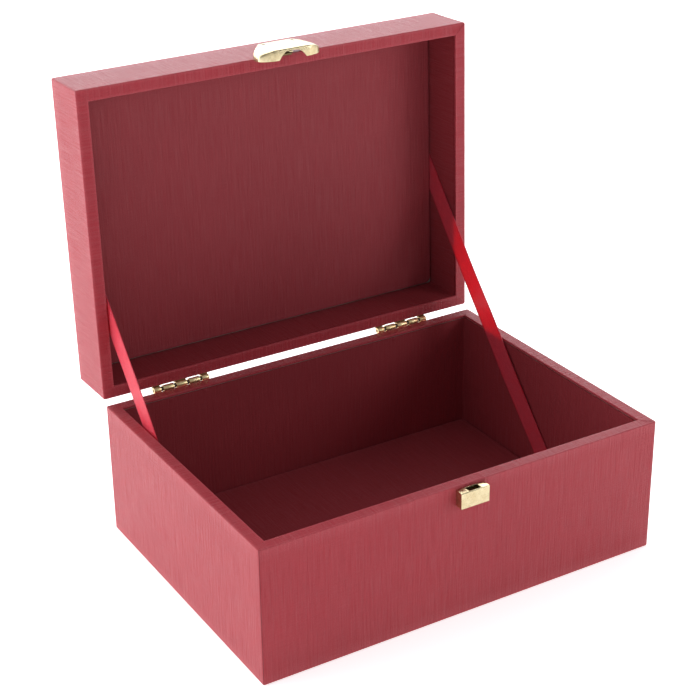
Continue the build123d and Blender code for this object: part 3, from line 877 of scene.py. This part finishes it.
def curl_outline(direction):
    """Where a leaf leaves the wall and rolls round the pin, as (outwards, up) from the wall."""
    middle, radius = HINGE_Y - BACK, KNUCKLE - 0.02
    rows = [(0.0, -TUCK), (0.0, -4.0), (LEAF, -4.0), (LEAF, -3.3)]
    rows += [(0.82, -2.7), (1.15, -2.2), (1.7, -1.86)]
    for angle in range(-112, -10, 12):
        turned = math.radians(angle)
        rows.append((middle + radius * math.cos(turned), radius * math.sin(turned)))
    rows += [(middle + 1.15, -0.5), (middle + 0.9, -0.85), (middle, -1.05), (middle - 0.9, -0.9)]
    return [(x, z if direction < 0 else -z) for x, z in rows]


def leaf_outline(knuckles):
    """A leaf as (along, away from the pin), notched beside the other leaf's knuckles."""
    end = HINGE_LONG / 2
    outline = []
    for index in range(5):
        left = max(-end, starts[index] - KNUCKLE_GAP / 2)
        right = min(end, starts[index] + lengths[index] + KNUCKLE_GAP / 2)
        away = TUCK if index in knuckles else NOTCH
        outline += [(left, away), (right, away)]
    far = rounded_box(-end, HALF_GAP, end, LEAF_TALL, (0, 0, 1.2, 1.2))
    return outline + far[2:]


def make_leaf(side, x, half, direction, knuckles):
    metal, bends = Metal(), Metal()
    spot, away = (x, BACK, HINGE_Z), (0, 0, direction)
    metal.prism(leaf_outline(knuckles), spot, (1, 0, 0), away, -direction * LEAF, 0.16)
    rim = 0.32
    for index in knuckles:
        start, long = x + starts[index], lengths[index]
        rows = [(PIN_HOLE, 0.12), (PIN_HOLE + 0.14, 0.0), (KNUCKLE - rim, 0.0), (KNUCKLE - 0.1, 0.1)]
        rows += [(KNUCKLE, rim), (KNUCKLE, long * 0.5), (KNUCKLE, long - rim)]
        rows += [(KNUCKLE - 0.1, long - 0.1), (KNUCKLE - rim, long)]
        rows += [(PIN_HOLE + 0.14, long), (PIN_HOLE, long - 0.12)]
        metal.turned(rows, (start, HINGE_Y, HINGE_Z), (1, 0, 0), (0, 1, 0), 40, hollow=True)
        curl = curl_outline(direction)
        if direction > 0:
            curl = curl[::-1]
        bends.prism(curl, (start + 0.12, BACK, HINGE_Z), (0, 1, 0), (0, 0, 1), long - 0.24)
    name = f"hinge_{half}_leaf_{side}"
    metal.piece(f"{name}_brass", BRASS_DULL, half, "brass", name, 30)
    # The curls are darkened with painted shade.
    bends.piece(f"{name}_bends", BRASS_PAINTED_SHADE, half, "brass", name, 30)


NAIL = 0.6
NAIL_HEAD = 1.3
NAIL_SHORT = 0.03  # a nail stops this far short of the lining
NAIL_SEGMENTS = 26


def nail_rows(stand_off):
    """A domed nail that goes through stand_off, the covering paper and the board."""
    length = stand_off + WALL - CLOTH - NAIL_SHORT
    rows = [(0.04, -length), (0.3, -length + 0.7), (NAIL, -length + 1.5), (NAIL, -0.02)]
    dome = ((1.0, 0.0), (1.0, 0.14), (0.93, 0.34), (0.72, 0.54), (0.4, 0.68), (0.12, 0.72))
    return rows + [(share * NAIL_HEAD, up) for share, up in dome]


def make_hinge_nails(half, z):
    metal = Metal()
    for x in nail_xs:
        metal.turned(nail_rows(LEAF), (x, BACK + LEAF, z), (0, 1, 0), (1, 0, 0), NAIL_SEGMENTS)
    name = f"hinge_nails_{half}"
    metal.piece(f"{name}_brass", BRASS_DULL, half, "brass", name, 40)


def make_hinge_pin(side, x):
    rows = [(0.3, 0.0), (0.6, 0.06), (PIN_RADIUS, 0.25)]
    for start, long in zip(starts[:4], lengths[:4]):
        gap = start + long + HINGE_LONG / 2
        near, far = gap + 0.1, gap + KNUCKLE_GAP - 0.1
        # A dark collar in each gap, standing in for the shade between the knuckles.
        rows += [(PIN_RADIUS, near), (SHADE_COLLAR, near + 0.02), (SHADE_COLLAR, far - 0.02), (PIN_RADIUS, far)]
    rows += [(PIN_RADIUS, HINGE_LONG - 0.25), (0.6, HINGE_LONG - 0.06), (0.3, HINGE_LONG)]
    metal = Metal()
    metal.turned(rows, (x - HINGE_LONG / 2, HINGE_Y, HINGE_Z), (1, 0, 0), (0, 1, 0), 24)
    metal.piece(f"hinge_pin_{side}_steel", PIN, "base", "pin_steel", f"hinge_pin_{side}", 40)


for side, x in (("left", -HINGE_MIDDLE), ("right", HINGE_MIDDLE)):
    make_leaf(side, x, "base", -1, (1, 3))
    make_leaf(side, x, "lid", 1, (0, 2, 4))
    make_hinge_pin(side, x)
make_hinge_nails("base", RIM - NAIL_DROP)
make_hinge_nails("lid", LID_RIM + NAIL_DROP)


# ---- cutting


def box_cutter(name, low, high):
    metal = Metal()
    size = [h - l for l, h in zip(low, high)]
    outline = [(0, 0), (size[0], 0), (size[0], size[1]), (0, size[1])]
    metal.prism(outline, low, (1, 0, 0), (0, 1, 0), size[2])
    return linked(name, metal.finished(name))


def cut(target, cutters, tangled=False):
    """tangled lets the solver sort out a target that isn't one clean closed skin."""
    for cutter in cutters:
        change = target.modifiers.new("cut", "BOOLEAN")
        change.operation, change.object, change.solver = "DIFFERENCE", cutter, "EXACT"
        change.use_self = tangled


def settled_mesh(obj, name):
    """The mesh that an object's modifiers make."""
    graph = bpy.context.evaluated_depsgraph_get()
    graph.update()
    mesh = bpy.data.meshes.new_from_object(obj.evaluated_get(graph))
    mesh.name = name
    return mesh


def take_away(*helpers):
    for helper in helpers:
        bpy.data.objects.remove(helper)


# ---- keeper

KEEPER_WIDE = 18.5
KEEPER_TALL = 10.0
KEEPER_PROUD = 5.5
KEEPER_TOP = RIM - 1.9
KEEPER_SHEET = 0.7
KEEPER_ROUND = 0.55
SLOT_WIDE = 8.0
BRIDGE = 0.6  # how deep the bridge goes into the board
BRIDGE_TALL = 2.4
WINDOW = 3.4  # the window under the bridge, which the barb goes into
PRONG = ((-0.35, -1.2), (0.35, -1.2), (0.35, 1.2), (-0.35, 1.2))
FRONT = -DEPTH / 2


def make_keeper():
    x, low, top = KEEPER_WIDE / 2, KEEPER_TOP - KEEPER_TALL, KEEPER_TOP
    metal, rings = Metal(), []
    shapes = [(0.0, 0.0)]
    for i in range(5):
        angle = math.radians(90 * i / 4)
        sunk, inset = KEEPER_ROUND * (1 - math.sin(angle)), KEEPER_ROUND * (1 - math.cos(angle))
        shapes.append((KEEPER_PROUD - sunk, inset))
    for out, inset in [*shapes, (KEEPER_PROUD, KEEPER_ROUND + 0.5)]:
        corner = [max(0.08, 0.4 - inset)] * 4
        ring = rounded_box(-x + inset, low + inset, x - inset, top - inset, corner, 4)
        rings.append([(px, FRONT - out, pz) for px, pz in ring])
    metal.loops(rings)
    body = linked("keeper_body", metal.finished("keeper_body"))
    s, half = KEEPER_SHEET, SLOT_WIDE / 2
    behind, before, sill = FRONT - BRIDGE, FRONT - KEEPER_PROUD + s, top - BRIDGE_TALL
    hollow = box_cutter("hollow", (-x + s, before, low + s), (x - s, behind, top - s))
    slot = box_cutter("slot", (-half, before, top - s - 0.3), (half, behind, top + 1))
    window = box_cutter("window", (-half, behind - 0.2, sill - WINDOW), (half, FRONT + 1, sill))
    cut(body, (hollow, slot, window))
    soften = body.modifiers.new("soften", "BEVEL")
    soften.width, soften.segments, soften.limit_method = 0.14 * MM, 2, "ANGLE"
    soften.angle_limit = math.radians(50)
    mesh = settled_mesh(body, "keeper_brass")
    prongs = Metal()
    for px in (-x + s / 2, x - s / 2):
        prongs.prism(PRONG, (px, FRONT - 0.3, (low + top) / 2), (-1, 0, 0), (0, 0, 1), 5.2, 0.1)
    spare = prongs.finished("prongs")
    whole = bmesh.new()
    whole.from_mesh(mesh)
    whole.from_mesh(spare)
    whole.to_mesh(mesh)
    whole.free()
    bpy.data.meshes.remove(spare)
    take_away(body, hollow, slot, window)
    finish_mesh(mesh, BRASS, 38)
    settle("keeper_brass", mesh, "base", "keeper")


make_keeper()


# ---- lever

# Heights are from the lid's rim and depths from the front of the box.
LEVER_SHEET = 0.6
ROUND = 0.8  # how far the top surface stops short of the outline
PROUD = 7.3
STAND_OFF = 0.5  # between the box and the edge of the pressing
TOP = 8.9
CREASE = -7.5  # above it the top surface tilts one way, below it the other
BOTTOM = -13.8
PLATEAU = 0.84  # share of the grid that is the top surface, the rest being its skirt
SWELL = 2.3  # the skirt's section, from 2, a quarter circle, towards a square corner
LOBE_START = 10.6  # half width where the top surface starts to fall away
LOBE_RUN = 10.4
LEVER_GRID = 88
# Height and half width, from the top edge to the bottom.
skirt_rows = [(8.9, 11.0), (6.6, 12.6), (4.2, 14.6), (1.9, 16.8), (0.0, 18.5), (-1.8, 19.8)]
skirt_rows += [(-3.8, 20.7), (-5.6, 21.0), (-7.4, 20.9), (-9.2, 20.1), (-11.0, 18.4)]
skirt_rows += [(-12.6, 15.4), (-13.8, 11.4)]
# The arch that lets the keeper through, as x and height above its foot, from right to left.
ARCH_FOOT = BOTTOM - 2.0
ARCH_DEEP = 4.4
arch_rows = [(9.55, -1.0), (9.55, 0.1), (8.9, 0.75), (8.2, 1.6), (7.4, 2.6), (6.65, 3.4), (5.9, 4.0)]
arch_rows += [(5.0, 4.65), (4.1, 5.1), (3.3, 5.3), (2.8, 5.2), (2.3, 5.45), (1.6, 5.4), (1.1, 5.2)]
arch_rows += [(0.5, 5.45), (-0.4, 5.5), (-0.9, 5.3), (-1.6, 5.45), (-2.4, 5.35)]
arch_rows += [(-px, pz) for px, pz in arch_rows[9::-1]]
SLIT_X, SLIT_HALF = 9.6, 0.5
CHEEK = 0.7  # thickness of a cheek
CATCH_PLATE = 0.8  # thickness of the catch's back plate
CATCH_NAIL_X, CATCH_NAIL_Z = 5.0, 4.6
# The hook as height and depth: it goes down behind the rim, with a barb that points inwards.
HOOK_DEEP = PROUD - 1.2
HOOK_HALF = 3.6
hook_rows = [(-1.3, 1.0), (-0.6, 1.0), (-0.6, HOOK_DEEP), (-1.3, HOOK_DEEP), (-1.3, 1.7)]
hook_rows += [(-6.0, 1.7), (-6.0, 1.0), (-4.8, 0.3), (-4.8, 1.0)]


def smooth_table(rows):
    """Half width at any height, a smooth curve through the rows."""
    zs = np.array([r[0] for r in rows][::-1])
    ws = np.array([r[1] for r in rows][::-1])
    slopes = np.gradient(ws, zs)

    def value(z):
        z = min(max(z, zs[0]), zs[-1])
        i = max(0, min(len(zs) - 2, int(np.searchsorted(zs, z, side="right")) - 1))
        h = zs[i + 1] - zs[i]
        t = (z - zs[i]) / h
        t2, t3 = t * t, t * t * t
        ends = (2 * t3 - 3 * t2 + 1) * ws[i] + (3 * t2 - 2 * t3) * ws[i + 1]
        return ends + (t3 - 2 * t2 + t) * slopes[i] * h + (t3 - t2) * slopes[i + 1] * h

    return value


skirt_width = smooth_table(skirt_rows)


def surface_height(x, z):
    """How far out the top surface stands: a tilted flat, falling away over the lobes."""
    if z >= CREASE:
        out = PROUD - 1.1 * ((z - CREASE) / (TOP - CREASE)) ** 1.3
    else:
        fall = (CREASE - z) / (CREASE - BOTTOM)
        out = PROUD - 0.5 * fall - 0.3 * fall**2
    over = max(0.0, (abs(x) - LOBE_START) / LOBE_RUN)
    return out * (1 - 0.56 * over**1.7)


def lever_spot(s, t):
    """A point of the pressing from its place on a square grid, s across and t down, -1 to 1."""
    ring = max(abs(s), abs(t))
    flat = ring <= PLATEAU
    across, row = (s / PLATEAU, t / PLATEAU) if flat else (s / ring, t / ring)
    z_top = TOP - ROUND + (BOTTOM - TOP + 2 * ROUND) * (row + 1) / 2
    x_top = across * (skirt_width(z_top) - ROUND)
    out = surface_height(x_top, z_top)
    if flat:
        return (x_top, out, z_top)
    angle = (ring - PLATEAU) / (1 - PLATEAU) * math.pi / 2
    spread_out = math.sin(angle) ** (2 / SWELL)
    fall = math.cos(angle) ** (2 / SWELL) if ring < 1 else 0.0
    z_skirt = TOP + (BOTTOM - TOP) * (row + 1) / 2
    x = x_top + (across * skirt_width(z_skirt) - x_top) * spread_out
    return (x, STAND_OFF + (out - STAND_OFF) * fall, z_top + (z_skirt - z_top) * spread_out)


def make_lever():
    side = range(LEVER_GRID + 1)
    grid = [[lever_spot(2 * i / LEVER_GRID - 1, 2 * j / LEVER_GRID - 1) for i in side] for j in side]
    points = [(x, FRONT - out, LID_RIM + z) for row in grid for x, out, z in row]
    faces = [(a, d, c, b) for a, b, c, d in grid_faces(len(side), len(side))]
    skin = linked("lever_skin", mesh_from("lever_skin", points, faces))
    shell = skin.modifiers.new("shell", "SOLIDIFY")
    shell.thickness, shell.offset = LEVER_SHEET * MM, -1.0
    shell.use_even_offset = False

    metal = Metal()
    metal.prism(arch_rows, (0, FRONT, LID_RIM + ARCH_FOOT), (1, 0, 0), (0, -1, 0), -ARCH_DEEP)
    helpers = [linked("arch", metal.finished("arch"))]
    for x in (-SLIT_X, SLIT_X):
        low = (x - SLIT_HALF, FRONT - PROUD - 1, LID_RIM + 1.7)
        high = (x + SLIT_HALF, FRONT - PROUD + 2.2, LID_RIM + 6.7)
        helpers.append(box_cutter("slit", low, high))
    low, high = (-30, FRONT - 2.8, LID_RIM + 4.2), (30, FRONT + 1, LID_RIM + 12)
    helpers.append(box_cutter("head_room", low, high))
    cut(skin, helpers, True)
    mesh = settled_mesh(skin, "catch_lever_brass")

    # Cheeks on the pin, and the hook that goes down into the keeper.
    inner = Metal()
    for x in (-SLIT_X + 0.4, SLIT_X - 0.4 - CHEEK):
        cheek = rounded_box(1.35, 1.7, HOOK_DEEP, 6.7, (0.5, 0.0, 0.0, 0.5))
        inner.prism(cheek, (x, FRONT, LID_RIM), (0, -1, 0), (0, 0, 1), -CHEEK)
    hook = [(out, z) for z, out in hook_rows]
    inner.prism(hook, (-HOOK_HALF, FRONT, LID_RIM), (0, -1, 0), (0, 0, 1), -2 * HOOK_HALF)
    # The cheeks and hook are darkened with painted shade.
    inner.piece("catch_lever_hook", BRASS_PAINTED_SHADE, "lever", "brass", "catch_lever", 40)
    take_away(skin, *helpers)
    finish_mesh(mesh, BRASS, 40)
    settle("catch_lever_brass", mesh, "lever", "catch_lever")


def make_catch_nails():
    metal = Metal()
    for x in (-CATCH_NAIL_X, CATCH_NAIL_X):
        spot = (x, FRONT - CATCH_PLATE, LID_RIM + CATCH_NAIL_Z)
        metal.turned(nail_rows(CATCH_PLATE), spot, (0, -1, 0), (1, 0, 0), NAIL_SEGMENTS)
    metal.piece("catch_nails_brass", BRASS, "lid", "brass", "catch_nails", 40)


make_lever()
make_catch_nails()


# ---- CAD nodes that stay shown

finishes = {"catch_plate": BRASS, "catch_pin": PIN, "catch_spring": SPRING}
for name, obj in frame["nodes"].items():
    if not obj.hide_render:
        obj.data.materials.clear()
        obj.data.materials.append(finishes.get(name, BOARD))


# ---- floor, light, camera


FLOOR_GLOW = 0.62
FLOOR_REACH = 9.0
LAMP_TINT = (0.96, 0.975, 1.0)
SKY_TINT = rgb(0.95, 0.97, 1.0)
FRONT_SKY = 0.32  # how bright the sky is before the box
BACK_SKY = 1.85  # and behind it, where the sides' gloss reflects it


def floor_material():
    material, tree, shader = new_material("studio_floor")
    where = object_place(tree)
    cloud = grain(tree, where, (3.0, 3.0, 3.0), 2.0, 0.5)
    colour = mixed(tree, cloud, rgb(0.93, 0.93, 0.93), rgb(0.96, 0.96, 0.96))
    tree.links.new(colour, shader.inputs["Base Color"])
    shader.inputs["Roughness"].default_value = 0.9
    shader.inputs["Specular IOR Level"].default_value = 0.1
    shader.inputs["Emission Color"].default_value = rgb(1.0, 1.0, 1.0)
    shader.inputs["Emission Strength"].default_value = FLOOR_GLOW
    return material


def make_floor():
    """In metres, and a hair under the box."""
    r = FLOOR_REACH
    corners = [(x, y, -0.0003) for x, y in ((-r, -r), (r, -r), (r, r), (-r, r))]
    mesh = bpy.data.meshes.new("studio_floor")
    mesh.from_pydata(corners, [], [(0, 1, 2, 3)])
    mesh.materials.append(floor_material())
    linked("studio_floor", mesh)


def softbox(name, spot, aim, size_x, size_y, power):
    """A rectangular lamp that the camera doesn't see."""
    lamp = bpy.data.lights.new(name, "AREA")
    lamp.shape, lamp.size, lamp.size_y, lamp.energy = "RECTANGLE", size_x, size_y, power
    lamp.color = LAMP_TINT
    obj = linked(name, lamp)
    obj.location = spot
    obj.rotation_mode = "QUATERNION"
    obj.rotation_quaternion = (Vector(aim) - Vector(spot)).to_track_quat("-Z", "Y")
    obj.visible_camera = False


def make_sky():
    world = bpy.data.worlds.new("studio")
    world.use_nodes = True
    tree = world.node_tree
    backdrop = tree.nodes["Background"]
    way = node(tree, "ShaderNodeTexCoord").outputs["Generated"]
    facing = node(tree, "ShaderNodeSeparateXYZ", {0: way})
    strength = spread(tree, facing.outputs["Y"], -0.2, 0.8, FRONT_SKY, BACK_SKY)
    tree.links.new(strength, backdrop.inputs["Strength"])
    backdrop.inputs["Color"].default_value = SKY_TINT
    bpy.context.scene.world = world


make_floor()
make_sky()
softbox("back_light", (0.1, 1.5, 1.0), (0.0, 0.95, 0.0), 3.0, 1.2, 20.0)
softbox("left_light", (-1.5, 0.45, 0.5), (0.0, 0.05, 0.1), 1.2, 1.0, 10.5)
softbox("right_light", (0.85, -0.75, 0.5), (0.1, 0.0, 0.15), 0.5, 0.5, 3.6)

CAMERA_SPOT = Vector((-0.46557, -0.74001, 0.54165))
CAMERA_LOOK = Vector((0.45106, 0.78716, -0.42063)).normalized()
CAMERA_ROLL = math.radians(-1.22)

camera = bpy.data.cameras.new("camera")
camera.sensor_width = 36.0
camera.lens = 87.05
camera.shift_x = 0.05236
camera.shift_y = -0.02658
camera.clip_start, camera.clip_end = 0.05, 50.0
viewer = linked("camera", camera)
right = CAMERA_LOOK.cross(Vector((0, 0, 1))).normalized()
up = right.cross(CAMERA_LOOK)
tilted_right = right * math.cos(CAMERA_ROLL) + up * math.sin(CAMERA_ROLL)
tilted_up = up * math.cos(CAMERA_ROLL) - right * math.sin(CAMERA_ROLL)
axes = Matrix((tilted_right, tilted_up, -CAMERA_LOOK)).transposed().to_4x4()
viewer.matrix_world = Matrix.Translation(CAMERA_SPOT) @ axes
bpy.context.scene.camera = viewer
bpy.context.scene.view_settings.view_transform = "Standard"
